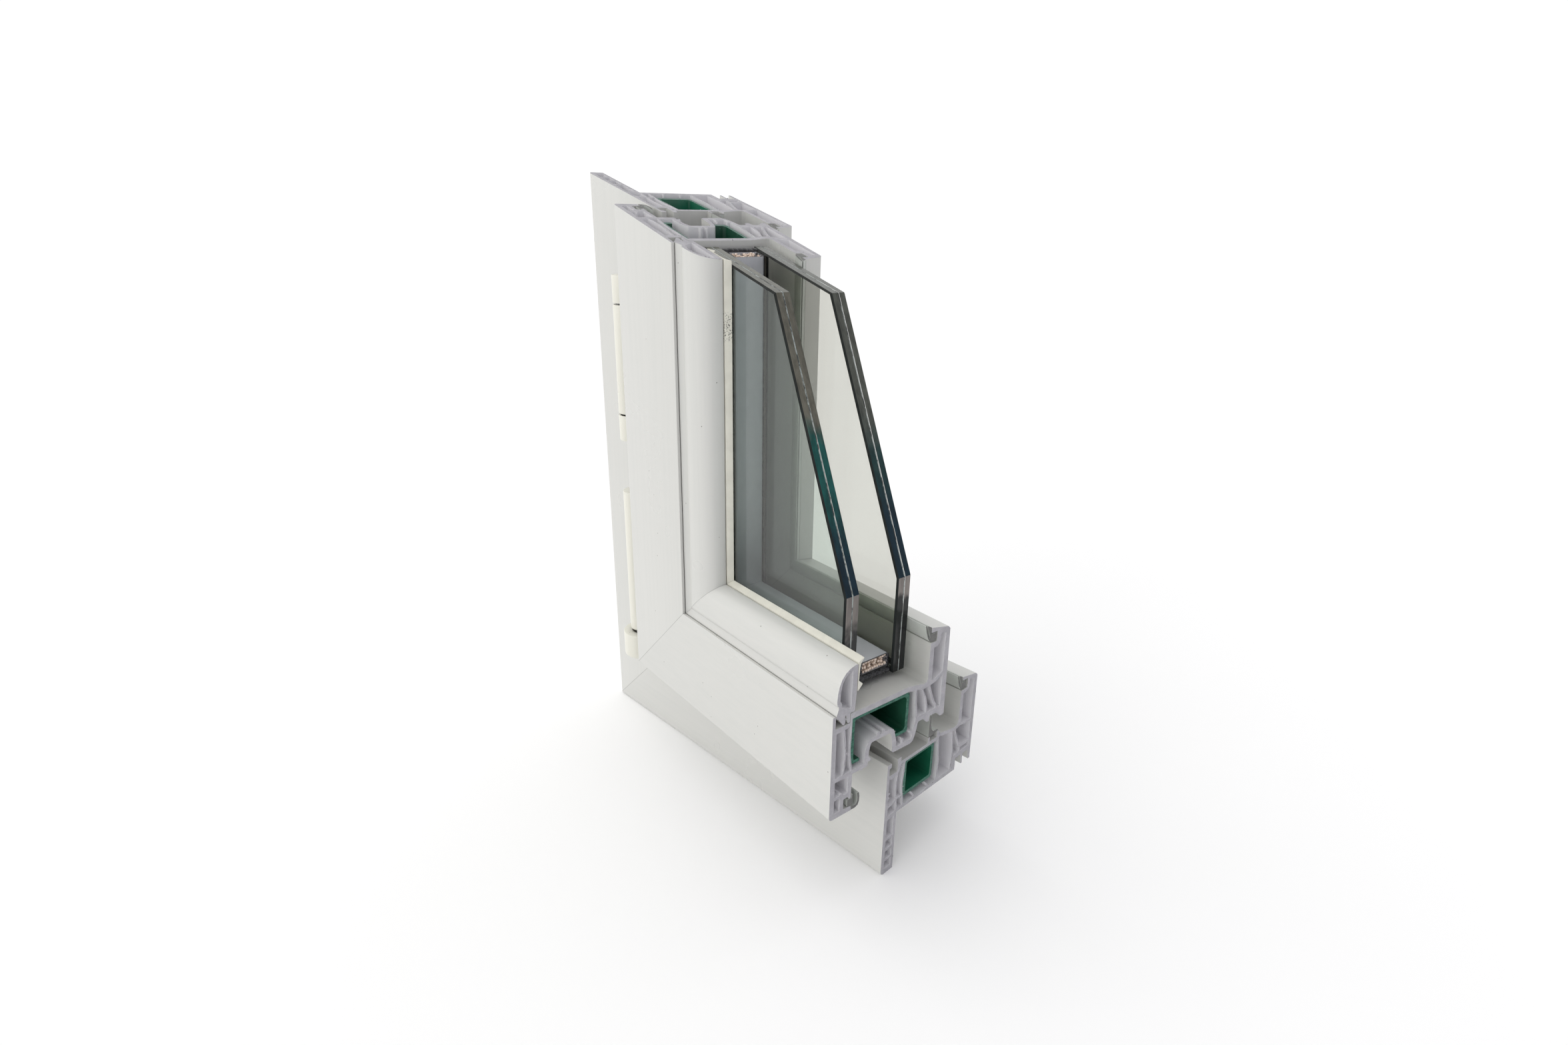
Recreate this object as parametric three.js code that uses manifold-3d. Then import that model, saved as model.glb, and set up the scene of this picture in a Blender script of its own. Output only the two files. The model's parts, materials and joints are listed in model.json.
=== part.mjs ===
// Corner of an inward-opening casement window, sawn off as a display piece: the lower corner on the
// hinge side. Two welded uPVC legs make the frame, two more make the sash, and each leg is one section
// swept along X (the rail) or along Z (the jamb), with a 45 degree mitre between them.
//
// Sections are drawn in millimetres as [u, v]: u is the depth, 0 on the frame's room face and growing
// outwards, and v is the distance in from the frame's outer edge. On a rail v is height; on a jamb it is X.
// The sash is drawn closed, and its group then turns about the hinge axis to where it hangs, just ajar.

import * as THREE from 'three';
import { mergeVertices } from 'three/addons/utils/BufferGeometryUtils.js';
import Module from 'manifold-3d';

const wasm = await Module();
wasm.setup();

// ---------------------------------------------------------------- driving dimensions, in mm and degrees

const RAIL_END = 227;            // the rails' sawn end, square to X
const JAMB_HEIGHT = 294.75;      // height of the sloping saw cut at X = CUT_AT
const CUT_AT = 100;
const CUT_FALL = 0.2963;         // how far the saw cut falls for each mm of X
const MITRE_GAP = 0.22;          // each leg stands this far off its mitre plane
const FIT = 0.3;                 // gap between pieces that touch

const FRAME_SEAT = 32.4;         // the frame's outer side, which sits on the sill
const FRAME_STAND = 56.8;        // room face of the frame's upstand
const FRAME_POCKET = 80.7;       // floor of the seal pocket in it
const SASH_FACE = -18.6;         // the sash's room face
const SASH_EDGE = 52.1;          // its overlap's free edge
const SASH_STAND = 40;           // room face of the sash's upstand
const SASH_POCKET = 123;         // floor of the seal pocket in it

const STEEL_INSET = 1;           // the steel ends this far inside the saw cuts
const STEEL_MITRE = 3;           // and this far off the mitre

const GLASS_EDGE = 107.2;        // lower and left edge of the panes
const SHEET = 4;                 // one sheet of a laminated pane
const INTERLAYER = 0.5;
const LAMINATE_GAP = 0.15;       // between a sheet and the interlayer
const PANE = 2 * SHEET + INTERLAYER + 2 * LAMINATE_GAP;
const ROOM_PANE = -1.8;          // room face of the pane on the room side
const OUTER_PANE = 26.4;         // room face of the outer pane
const PANE_DROP = 2;             // the panes stop this far below the saw cut
const UNIT_INSET = 12.4;         // the spacer and sealants end this far inside the rails' sawn end

const HINGE = { x: 40.6, y: -8.2 };
const AJAR = 5.94;               // how far the sash stands open
const PIN_RADIUS = 3;
const KNUCKLE_RADIUS = 5.6;
const COVER_RADIUS = 7;
const UPPER_HINGE = { bottom: 186, lowGap: 200.5, highGap: 259.8, top: 274.4 };
const LOWER_HINGE = { bottom: 51.5, cupTop: 66.5, armBottom: 68.6, armTop: 155.7 };
const CUP_RADIUS = 11.2;
const CUP_BORE = 6;

const SEAT_POINT = { x: 113.5, y: 33, z: FRAME_SEAT };   // the origin: a point on the sill face

// ---------------------------------------------------------------- outlines and solids

const rad = THREE.MathUtils.degToRad;

/** Points round an ellipse from one angle to another, in degrees, anticlockwise from +u. */
function arc(u, v, ru, rv, from, to, steps) {
  const points = [];
  for (let i = 0; i <= steps; i += 1) {
    const angle = rad(from + ((to - from) * i) / steps);
    points.push([u + ru * Math.cos(angle), v + rv * Math.sin(angle)]);
  }
  return points;
}

function circle(u, v, r, steps = 32) {
  return arc(u, v, r, r, 0, 360, steps).slice(0, -1);
}

function box(u0, v0, u1, v1) {
  return [[u0, v0], [u1, v0], [u1, v1], [u0, v1]];
}

function rounded(u0, v0, u1, v1, r, steps = 3) {
  return [
    ...arc(u1 - r, v0 + r, r, r, -90, 0, steps),
    ...arc(u1 - r, v1 - r, r, r, 0, 90, steps),
    ...arc(u0 + r, v1 - r, r, r, 90, 180, steps),
    ...arc(u0 + r, v0 + r, r, r, 180, 270, steps),
  ];
}

/** A prism whose points are moved by place(u, v, t); t is 0 at its start and 1 at its end. */
function prism(outline, holes, place, mirrored = false) {
  const path = (points) => points.map(([u, v]) => new THREE.Vector2(u, v));
  const shape = new THREE.Shape(path(outline));
  shape.holes = holes.map((hole) => new THREE.Path(path(hole)));
  const geometry = new THREE.ExtrudeGeometry(shape, { depth: 1, steps: 1, bevelEnabled: false });
  geometry.deleteAttribute('normal');
  geometry.deleteAttribute('uv');
  const position = geometry.attributes.position;
  for (let i = 0; i < position.count; i += 1) {
    position.setXYZ(i, ...place(position.getX(i), position.getY(i), position.getZ(i)));
  }
  const merged = mergeVertices(geometry, 1e-4);
  const index = merged.index.array;
  for (let i = 0; mirrored && i < index.length; i += 3) {
    [index[i + 1], index[i + 2]] = [index[i + 2], index[i + 1]];
  }
  return merged;
}

const mix = (a, b, t) => a + (b - a) * t;
const sawCut = (x) => JAMB_HEIGHT - CUT_FALL * (x - CUT_AT);

/** The section swept along X, from the mitre to the sawn end less inset. */
function rail(outline, holes = [], inset = 0, mitre = MITRE_GAP) {
  return prism(outline, holes, (u, v, t) => [mix(v + mitre, RAIL_END - inset, t), u, v]);
}

/** The same section swept along Z, from the mitre to the sloping saw cut less inset. */
function jamb(outline, holes = [], inset = 0, mitre = MITRE_GAP) {
  return prism(outline, holes, (u, v, t) => [v, u, mix(v + mitre, sawCut(v) - inset, t)], true);
}

/** An outline in the X-Y plane, raised from one height to another. */
function upright(outline, holes, bottom, top) {
  return prism(outline, holes, (x, y, t) => [x, y, mix(bottom, top, t)]);
}

function solid(geometry) {
  return new wasm.Manifold(new wasm.Mesh({
    numProp: 3,
    vertProperties: new Float32Array(geometry.attributes.position.array),
    triVerts: new Uint32Array(geometry.index.array),
  }));
}

function cut(geometry, ...tools) {
  const mesh = tools.reduce((body, tool) => body.subtract(solid(tool)), solid(geometry)).getMesh();
  const result = new THREE.BufferGeometry();
  result.setAttribute('position', new THREE.BufferAttribute(mesh.vertProperties, 3));
  result.setIndex(new THREE.BufferAttribute(mesh.triVerts, 1));
  return result;
}

// ---------------------------------------------------------------- materials

const FINISH = {
  upvc: { color: 0xe9e8e2, roughness: 0.35, metalness: 0 },
  gasket: { color: 0x9c9d99, roughness: 0.6, metalness: 0 },
  cream: { color: 0xd9d6c6, roughness: 0.5, metalness: 0 },
  steel: { color: 0x0b4a30, roughness: 0.45, metalness: 0.3 },
  glass: { color: 0xbfd0cb, roughness: 0.05, metalness: 0 },
  interlayer: { color: 0xe8ece8, roughness: 0.4, metalness: 0 },
  spacer: { color: 0xb9b8bd, roughness: 0.4, metalness: 0.4 },
  desiccant: { color: 0xc9b09a, roughness: 0.9, metalness: 0 },
  sealant: { color: 0x17181b, roughness: 0.7, metalness: 0 },
  packer: { color: 0x4a6a9a, roughness: 0.6, metalness: 0 },
  hinge: { color: 0x9b9da0, roughness: 0.35, metalness: 0.9 },
  ivory: { color: 0xe6e5da, roughness: 0.4, metalness: 0 },
};

function piece(parent, name, geometry, finish) {
  const mesh = new THREE.Mesh(geometry, new THREE.MeshStandardMaterial(FINISH[finish]));
  mesh.name = name;
  parent.add(mesh);
}

// ---------------------------------------------------------------- frame section

/** Flange, sill side, drip legs, upstand with its seal pocket, centre seat, and the groove on top. */
function frameOutline() {
  return [
    ...arc(2.5, 0.6, 2.5, 2.5, 180, 270, 4),
    [9.2, -1.9], [9.2, FRAME_SEAT], [57.5, FRAME_SEAT], [57.4, 39.6], [62.3, 39.6], [62.9, 33.4],
    [64.2, 33.4], [63.8, 39.6], [68.7, 39.6], [69.6, 33.2], [71.2, 33.2], [70.8, 60], [70.3, 84.8],
    [69, 86.2], [57.2, 88.5], [57.2, 86.3], [61.8, 86.3], [61.8, FRAME_POCKET],
    [FRAME_STAND, FRAME_POCKET], [56.7, 62.5], [55.5, 60.7], [53, 60.5], [41, 63], [39, 65.6],
    [38.2, 65.2], [38.4, 61.9], [32.5, 61.7], [32.4, 64.6], [31, 64.6], [31, 61.6], [10.1, 61.6],
    [10.1, 64.2], [7.1, 64.1], [7.9, 60.5], [7.6, 57.2], [1.7, 57.2], [1.4, 61.4], [2.8, 61.4],
    [3.1, 62.3], [3, 63.9], [0, 63.9],
  ];
}

function frameChambers() {
  const flangeRows = [[1.2, 5.8], [6.9, 12.1], [13.4, 18.5], [19.8, 31]];
  const steelRoom = [
    [14.4, 34], [22.6, 34], [20.2, 37.6], [21, 37.8], [23.7, 34], [34, 34], [31.3, 37.6], [32.1, 37.8],
    [35.2, 34], [40.6, 34.6], [40.9, 40], [41.1, 46], [40.3, 52], [39.4, 59.8], [13.6, 59.8],
    [13.4, 54], [12.8, 50], [12.6, 46], [13, 42], [13.8, 38],
  ];
  const roomSide = [
    [[2.2, 32.8], [8.4, 33.8], [8.1, 38.6], [7.8, 39.5], [2.2, 38.1]],
    [
      [2.1, 39.3], [7.6, 40.5], [7.2, 46], [7.1, 50], [7.6, 54.9], [4.8, 54.9], [4.3, 53.8],
      [2.6, 55], [1.8, 55.1], [1.8, 47.8], [3.4, 46.4], [2.1, 46], [2.1, 45.3], [3.1, 43.9], [2.1, 43.3],
    ],
    [[9.7, 34], [13.3, 34], [12.8, 38], [12.8, 39.8], [8.7, 40.3], [9.2, 36]],
    [
      [8.5, 41.4], [12.3, 40.7], [11.7, 46], [11.9, 50], [12.3, 54], [12.7, 59.7], [10.1, 59.7],
      [9.9, 57.6], [9.1, 56.4], [8.4, 55.6], [7.9, 50], [8.1, 44],
    ],
  ];
  const outdoorSide = [
    [
      [41.9, 34.7], [52.8, 34.8], [53.2, 40], [53.4, 46], [52.8, 52], [51.5, 58.6], [40.5, 61],
      [41.4, 52], [42.2, 46], [41.9, 40],
    ],
    [
      [53.8, 35.2], [54.8, 35.2], [54.9, 41], [56.2, 42.4], [59.9, 42.4], [59.9, 45.4], [58.8, 46.6],
      [57, 50.2], [55.5, 54], [54.2, 58.2], [52.6, 58.4], [53.8, 52], [54.4, 46], [54.3, 40],
    ],
    box(60.9, 42.3, 68.6, 44.7),
    [[60.4, 46.1], [68.6, 46.1], [68.3, 57.9], [57.9, 59.3], [55.1, 58.4], [56.6, 54], [58.2, 50.2]],
    [
      [59.5, 60.3], [68.1, 59], [68, 83.7], [63.6, 85], [63.4, 80.4], [62.4, 79], [61.2, 78.5],
      [59.1, 78.5],
    ],
  ];
  return [
    ...flangeRows.map(([low, high]) => box(2.3, low, 7.4, high)), ...roomSide, steelRoom, ...outdoorSide,
  ];
}

const FRAME_STEEL = { outside: rounded(14.3, 38.1, 37.9, 59.4, 1.5), inside: box(16.2, 40, 36, 57.5) };

/** The centre seal: a foot in its seat and a tall fin that the closed sash bends. */
const CENTRE_SEAL = [
  [31, 64.9], [37.9, 65.5], [39, 66], [38.2, 66.8], [34.8, 66.9], [33.2, 68.6], [32.4, 72], [32.1, 77.5],
  [31.3, 77.5], [31.1, 72],
];

/** The seal in an upstand: a root in the pocket, a wedge over the room face and a thin lip beside it. */
function upstandSeal(face, floor, reach = 4.6) {
  const tip = reach / 4.6;
  const points = [
    [-0.3, 0.9], [3.3, 0.8], [3.3, 4.6], [-0.3, 4.6], [-0.4, 8.3], [-3.2, 9.9], [-2.9, 8.6], [-1.6, 5.6],
    [-1, 3.4], [-1.1, 2.6], [-2, 3.9], [-3.1, 6.6], [-4.1, 10.2], [-4.6, 10], [-3.6, 6.4], [-2.6, 3.6],
    [-1.4, 1.6],
  ];
  return points.map(([across, up]) => [face + (across < -0.4 ? across * tip : across), floor + up]);
}

// ---------------------------------------------------------------- sash section

/** Overlap, seal pocket, hardware groove, rear legs, upstand, glazing rebate and bead groove. */
function sashOutline() {
  return [
    ...arc(-16.8, 53.9, 1.8, 1.8, 180, 270, 4),
    [-5.6, 52.3], [-5.6, 54.8], [-10.2, 54.9], [-10.3, 60.4], [-7.4, 60.6], [-7.2, 59.3], [-5.8, 59.3],
    [-5.7, 72.2], [3.5, 72.2], [3.8, 74.4], [5.7, 74.5], [5.3, 75.8], [4, 77.3], [4.1, 80], [4.6, 82.2],
    [5.4, 84.1], [17.2, 84.2], [18.2, 82], [18.8, 78], [19, 75.2], [18.9, 73.4], [20, 72.5],
    [31.4, 72.5], [33, 73.5], [34, 76], [34.9, 79.2], [35.3, 82], [36, 82.9], [39, 82.9], [41.6, 80.2],
    [43.3, 80.1], [43.6, 82.9], [48, 82.9], [51, 80.1], [53.6, 80.1], [53.2, 104], [52.7, 127],
    [51.4, 128.4], [40, 131], [40, 128.3], [43.9, 128.3], [43.9, SASH_POCKET], [SASH_STAND, SASH_POCKET],
    [40, 104.3], [39.3, 102.9], [37.8, 102.6], [28, 104.7], [-8.4, 104.7], [-8.4, 100], [-16.9, 100],
    [-16.9, 106.3], [SASH_FACE, 106.3],
  ];
}

function sashChambers() {
  const roomSide = [
    box(-15.9, 55, -12.5, 62.1),
    [
      [-15.9, 63.5], [-12.9, 63.5], [-12.4, 64.4], [-11.6, 64.4], [-10.8, 62.7], [-8, 62.9], [-8, 71.9],
      [-15.9, 71.9],
    ],
    [
      [-16, 74], [-11.8, 74], [-11.1, 77], [-10.8, 84], [-11.1, 88], [-11.6, 92], [-12.4, 97.4],
      [-16.1, 97.4],
    ],
    [
      [-11, 74], [-6.7, 74], [-7, 76], [-7.7, 80], [-8.2, 84], [-8.2, 88], [-8, 92], [-7.9, 98.6],
      [-9.4, 97.8], [-11.2, 97.6], [-10.5, 92], [-10.1, 88], [-10, 84], [-10.2, 78],
    ],
  ];
  const steelRoom = [
    [-5.9, 74.3], [-6.1, 76], [-6.8, 80], [-7.3, 84], [-7.4, 88], [-7.2, 92], [-7.1, 101.6],
    [27, 102], [30.5, 101.3], [32.2, 100.9], [32.5, 96], [32.8, 92], [33.3, 88], [33.9, 85],
    [32.5, 80], [32.3, 79], [30.2, 79.6], [30, 78.9], [32.1, 77.6], [32, 76], [31.4, 74.8],
    [26.4, 74.8], [26.3, 77.4], [24.6, 78.6], [25.2, 76.8], [25.2, 74.8], [21.4, 74.8], [21.7, 77.4],
    [21, 80], [20.1, 83.5], [19.3, 85.3], [17.5, 86.4], [13.8, 86.4], [13.6, 88.2], [12.3, 88.2],
    [12.2, 86.4], [10.4, 86.4], [10.2, 88.2], [8.8, 88.2], [8.7, 86.4], [6.2, 86.3], [3.7, 85.5],
    [2.3, 83], [1.6, 80], [1.4, 74.3],
  ];
  const outdoorSide = [
    [
      [34.9, 85.8], [40.5, 85.8], [40.1, 89.8], [39.2, 94], [36.4, 100], [33.1, 101], [33.5, 96],
      [33.9, 92], [34.5, 88],
    ],
    [
      [41.5, 85.8], [47.1, 85.8], [46.3, 87.8], [44.2, 91.7], [42.6, 95.5], [41, 99.9], [37.3, 99.8],
      [40.2, 94], [41.1, 89.8],
    ],
    [[48.1, 85.8], [50.3, 85.8], [50.2, 103.5], [46, 101.2], [42.1, 100.3], [43.8, 95.5], [45.4, 91.7], [47.4, 87.8]],
    [
      [42.8, 102.1], [46, 103.1], [50.1, 105.1], [50.1, 125.6], [46.9, 126.4], [46.8, 123.4],
      [46, 121.4], [44.6, 120.2], [42.6, 120],
    ],
  ];
  return [...roomSide, steelRoom, ...outdoorSide];
}

/** An open channel of folded steel that runs over the hardware groove from one side to the other. */
const SASH_STEEL = [
  [-0.8, 76.5], [-0.8, 78.3], [-4.3, 78.3], [-4.6, 79.6], [-4.6, 99.4], [26.2, 99.4], [27.6, 98],
  [27.6, 82.6], [26.6, 81.3], [21.4, 81.3], [21.9, 79.5], [28.4, 79.5], [29.4, 80.7], [29.4, 100],
  [28.2, 101.2], [-5.6, 101.2], [-6.4, 100.4], [-6.3, 79.2], [-5.3, 76.5],
];

/** The overlap's seal: a root in its pocket and a hollow lip that curls round to meet the frame. */
const OVERLAP_SEAL = [
  [-7.9, 55.2], [-5.2, 55.1], [-5.2, 52.4], [-3, 52.4], [-1.2, 53.2], [-0.5, 55], [-0.4, 57.5], [-0.8, 60],
  [-1.9, 60], [-1.5, 57.5], [-1.6, 55.5], [-2.5, 54], [-4.5, 54], [-4.5, 60.6], [-5.1, 60.6],
  [-5.2, 58.9], [-7.9, 58.9],
];

// ---------------------------------------------------------------- glazing bead

function beadOutline() {
  return [
    [-16.6, 106.5], [-15.9, 108.2], [-15.4, 110], [-15.6, 110.9], [-16.4, 111.4], [-16.6, 113.5],
    [-16.3, 117], [-15.6, 120.3], [-14.2, 123.5], [-12, 126], [-9.5, 127.4], [-7, 128.1], [-5.3, 128.2],
    [-5.4, 115], [-6, 106], [-6.1, 105.3], [-8.7, 105.1], [-8.7, 100.4], [-9.9, 100.4], [-10.6, 102.5],
    [-10.9, 104.8], [-11.5, 104.8], [-11.3, 101.6], [-12, 100.4], [-12.6, 100.5], [-15.6, 104.6],
    [-16.5, 104.8],
  ];
}

const BEAD_CHAMBER = [
  [-8.1, 126.3], [-9.8, 125.9], [-12, 124.3], [-13.6, 121.7], [-14.6, 118], [-14.8, 113.2],
  [-13.9, 112.1], [-13.8, 109.6], [-11, 108.3], [-8.2, 107.2],
];

/** The bead's seal: a backing strip with a small fin low down and a lip over the bead's top. */
const BEAD_SEAL = [
  [-5, 114.3], [-2.1, 117.4], [-4.5, 119.6], [-4.4, 123], [-4.2, 125.6], [-3.6, 128.2], [-2.1, 129.7],
  [-2.15, 130.5], [-5, 128.7],
];

// ---------------------------------------------------------------- sealed glass unit

/** A sheet of glass: square at the bottom, cut off on the slant at its free side. */
function sheet(depth, thickness, { end, shoulder, crown }) {
  const outline = [
    [GLASS_EDGE, GLASS_EDGE],
    [end, GLASS_EDGE],
    [end, shoulder],
    [crown, sawCut(crown) - PANE_DROP],
    [GLASS_EDGE, sawCut(GLASS_EDGE) - PANE_DROP],
  ];
  return prism(outline, [], (x, z, t) => [x, depth + t * thickness, z], true);
}

function addPane(parent, name, depth, cutOff) {
  const interlayer = depth + SHEET + LAMINATE_GAP;
  const second = interlayer + INTERLAYER + LAMINATE_GAP;
  piece(parent, `${name}_room_sheet`, sheet(depth, SHEET, cutOff), 'glass');
  piece(parent, `${name}_interlayer`, sheet(interlayer, INTERLAYER, cutOff), 'interlayer');
  piece(parent, `${name}_outdoor_sheet`, sheet(second, SHEET, cutOff), 'glass');
}

const SPACER = { low: 111.2, high: 118, wall: 0.6, corner: 1 };
const BUTYL = 0.6;

/** The hollow spacer bar between the panes, what fills it and what seals it. */
function addEdgeSeal(parent, leg, sweep, inset) {
  const { low, high, wall, corner } = SPACER;
  const room = ROOM_PANE + PANE + FIT;
  const outdoor = OUTER_PANE - FIT;
  const left = room + BUTYL + FIT;
  const right = outdoor - BUTYL - FIT;
  const skin = wall + FIT;
  const bar = rounded(left, low, right, high, corner, 2);
  const hollow = rounded(left + wall, low + wall, right - wall, high - wall, corner - wall, 1);
  const filling = box(left + skin, low + skin, right - skin, high - skin);
  const bed = box(room, GLASS_EDGE + 0.2, outdoor, low - FIT);
  piece(parent, `spacer_bar_${leg}`, sweep(bar, [hollow], inset), 'spacer');
  piece(parent, `desiccant_${leg}`, sweep(filling, [], inset + 1), 'desiccant');
  piece(parent, `edge_sealant_${leg}`, sweep(bed, [], inset), 'sealant');
  piece(parent, `butyl_room_${leg}`, sweep(box(room, low, room + BUTYL, high - 1), [], inset), 'sealant');
  const outer = box(outdoor - BUTYL, low, outdoor, high - 1);
  piece(parent, `butyl_outdoor_${leg}`, sweep(outer, [], inset), 'sealant');
}

/** Packers stand the glass off the rebate, one on each leg near the corner. */
function addPackers(parent) {
  const [floor, deep] = [104.7 + FIT, 27.5];
  const block = box(ROOM_PANE, floor, deep, GLASS_EDGE - FIT);
  const along = (t) => mix(124, 184, t);
  piece(parent, 'glazing_packer_rail', prism(block, [], (u, v, t) => [along(t), u, v]), 'packer');
  piece(parent, 'glazing_packer_jamb', prism(block, [], (u, v, t) => [v, u, along(t)], true), 'packer');
}

// ---------------------------------------------------------------- hinges

/** A knuckle round the hinge axis, with a neck that widens to a foot; along is the foot's direction. */
function knuckleOutline(neck, foot, place) {
  const start = THREE.MathUtils.radToDeg(Math.asin(neck / KNUCKLE_RADIUS));
  const ring = arc(0, 0, KNUCKLE_RADIUS, KNUCKLE_RADIUS, start, 360 - start, 24);
  return [...ring, ...foot].map(place);
}

const FRAME_REACH = -HINGE.y - FIT;
const SASH_REACH = SASH_EDGE - HINGE.x - FIT;
const FRAME_KNUCKLE = knuckleOutline(
  4.5,
  [[FRAME_REACH, -4.5], [FRAME_REACH, 4.5]],
  ([along, across]) => [HINGE.x - across, HINGE.y + along],
);
const SASH_KNUCKLE = knuckleOutline(
  2,
  [[8.2, -2], [8.2, -8], [SASH_REACH, -8], [SASH_REACH, 4], [8.2, 4], [8.2, 2]],
  ([along, across]) => [HINGE.x + along, HINGE.y + across],
);
const FRAME_SLOT = box(HINGE.x - 4.8, HINGE.y, HINGE.x + 4.8, HINGE.y + 9);
const SASH_SLOT = box(HINGE.x, HINGE.y - 2.3, HINGE.x + 9, HINGE.y + 2.3);
const BORE = circle(HINGE.x, HINGE.y, PIN_RADIUS + FIT);
const PIN = circle(HINGE.x, HINGE.y, PIN_RADIUS);

/** A plastic sleeve over a knuckle, slotted for its neck and closed at the end that cap names. */
function sleeve(bottom, top, slot, cap) {
  const end = 1.2;
  const low = cap === 'bottom' ? bottom + end : bottom - 1;
  const high = cap === 'top' ? top - end : top + 1;
  return cut(
    upright(circle(HINGE.x, HINGE.y, COVER_RADIUS, 40), [], bottom, top),
    upright(circle(HINGE.x, HINGE.y, KNUCKLE_RADIUS + FIT), [], low, high),
    upright(slot, [], low, high),
  );
}

/** Two knuckles on the frame and a long one on the sash between them, on one pin. */
function upperHinge(frame, sash) {
  const { bottom, lowGap, highGap, top } = UPPER_HINGE;
  const gap = 0.45;
  const end = 1.5;
  const topKnuckle = upright(FRAME_KNUCKLE, [BORE], highGap + gap, top - end);
  const bottomKnuckle = upright(FRAME_KNUCKLE, [BORE], bottom + end, lowGap - gap);
  const middleKnuckle = upright(SASH_KNUCKLE, [BORE], lowGap + gap, highGap - gap);
  piece(frame, 'upper_hinge_top_knuckle', topKnuckle, 'hinge');
  piece(frame, 'upper_hinge_bottom_knuckle', bottomKnuckle, 'hinge');
  piece(frame, 'upper_hinge_pin', upright(PIN, [], bottom + end, top - end), 'hinge');
  piece(frame, 'upper_hinge_top_cover', sleeve(highGap + gap, top, FRAME_SLOT, 'top'), 'ivory');
  piece(frame, 'upper_hinge_bottom_cover', sleeve(bottom, lowGap - gap, FRAME_SLOT, 'bottom'), 'ivory');
  piece(sash, 'upper_hinge_middle_knuckle', middleKnuckle, 'hinge');
  const middleCover = sleeve(lowGap + gap, highGap - gap, SASH_SLOT, 'none');
  piece(sash, 'upper_hinge_middle_cover', middleCover, 'ivory');
}

/** A socket in a cup on the frame, and a long arm on the sash whose pin turns in it. */
function lowerHinge(frame, sash) {
  const { bottom, cupTop, armBottom, armTop } = LOWER_HINGE;
  const floor = bottom + 2.5;
  const flat = THREE.MathUtils.radToDeg(Math.asin(FRAME_REACH / CUP_RADIUS));
  const outline = arc(HINGE.x, HINGE.y, CUP_RADIUS, CUP_RADIUS, 180 - flat, 360 + flat, 30);
  const room = upright(circle(HINGE.x, HINGE.y, CUP_BORE), [], floor, cupTop + 1);
  const socket = upright(circle(HINGE.x, HINGE.y, CUP_BORE - FIT), [BORE], floor + FIT, cupTop - 5);
  piece(frame, 'lower_hinge_cup', cut(upright(outline, [], bottom, cupTop), room), 'ivory');
  piece(frame, 'lower_hinge_socket', socket, 'hinge');
  const arm = upright(SASH_KNUCKLE, [BORE], armBottom + 0.6, armTop - 1.5);
  piece(sash, 'lower_hinge_arm', arm, 'hinge');
  piece(sash, 'lower_hinge_pin', upright(PIN, [], floor + 1, armBottom + 60), 'hinge');
  piece(sash, 'lower_hinge_arm_cover', sleeve(armBottom, armTop, SASH_SLOT, 'top'), 'ivory');
}

// ---------------------------------------------------------------- the two bodies

function buildFrame() {
  const frame = new THREE.Group();
  const { outside, inside } = FRAME_STEEL;
  for (const [leg, sweep] of Object.entries({ rail, jamb })) {
    piece(frame, `frame_${leg}_profile`, sweep(frameOutline(), frameChambers()), 'upvc');
    piece(frame, `frame_${leg}_steel`, sweep(outside, [inside], STEEL_INSET, STEEL_MITRE), 'steel');
    piece(frame, `frame_${leg}_centre_seal`, sweep(CENTRE_SEAL), 'gasket');
    piece(frame, `frame_${leg}_outdoor_seal`, sweep(upstandSeal(FRAME_STAND, FRAME_POCKET)), 'gasket');
  }
  return frame;
}

function buildSash() {
  const sash = new THREE.Group();
  const glassSeal = upstandSeal(SASH_STAND, SASH_POCKET, SASH_STAND - OUTER_PANE - PANE - FIT);
  for (const [leg, sweep] of Object.entries({ rail, jamb })) {
    piece(sash, `sash_${leg}_profile`, sweep(sashOutline(), sashChambers()), 'upvc');
    piece(sash, `sash_${leg}_steel`, sweep(SASH_STEEL, [], STEEL_INSET, STEEL_MITRE), 'steel');
    piece(sash, `sash_${leg}_overlap_seal`, sweep(OVERLAP_SEAL), 'gasket');
    piece(sash, `sash_${leg}_glass_seal`, sweep(glassSeal), 'gasket');
    piece(sash, `bead_${leg}`, sweep(beadOutline(), [BEAD_CHAMBER]), 'upvc');
    piece(sash, `bead_${leg}_seal`, sweep(BEAD_SEAL), 'cream');
    addEdgeSeal(sash, leg, sweep, leg === 'rail' ? UNIT_INSET : PANE_DROP + 1);
  }
  addPane(sash, 'inner_pane', ROOM_PANE, { end: 213.3, shoulder: 152, crown: 161.3 });
  addPane(sash, 'outer_pane', OUTER_PANE, { end: 216.5, shoulder: 155, crown: 165 });
  addPackers(sash);
  return sash;
}

/** Turns the closed sash about the hinge axis until it stands ajar. */
function hang(sash) {
  const hung = new THREE.Group();
  sash.position.set(-HINGE.x, -HINGE.y, 0);
  hung.add(sash);
  hung.position.set(HINGE.x, HINGE.y, 0);
  hung.rotation.z = rad(-AJAR);
  return hung;
}

const frame = buildFrame();
const sash = buildSash();
upperHinge(frame, sash);
lowerHinge(frame, sash);

const group = new THREE.Group();
group.add(frame, hang(sash));
group.position.set(-SEAT_POINT.x, -SEAT_POINT.y, -SEAT_POINT.z);

export default group;
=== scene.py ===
"""The looks of a sawn-off casement window corner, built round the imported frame. Lengths are in metres.

Each swept leg is shown by a finer copy of itself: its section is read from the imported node's sawn end,
its corners are rounded, and it is swept again between the same two end planes. The panes, the filling
and sealant of the glass unit, the torn bits at the saw cuts, and the hinges' covers follow.
"""

import json
import math
import random

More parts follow.
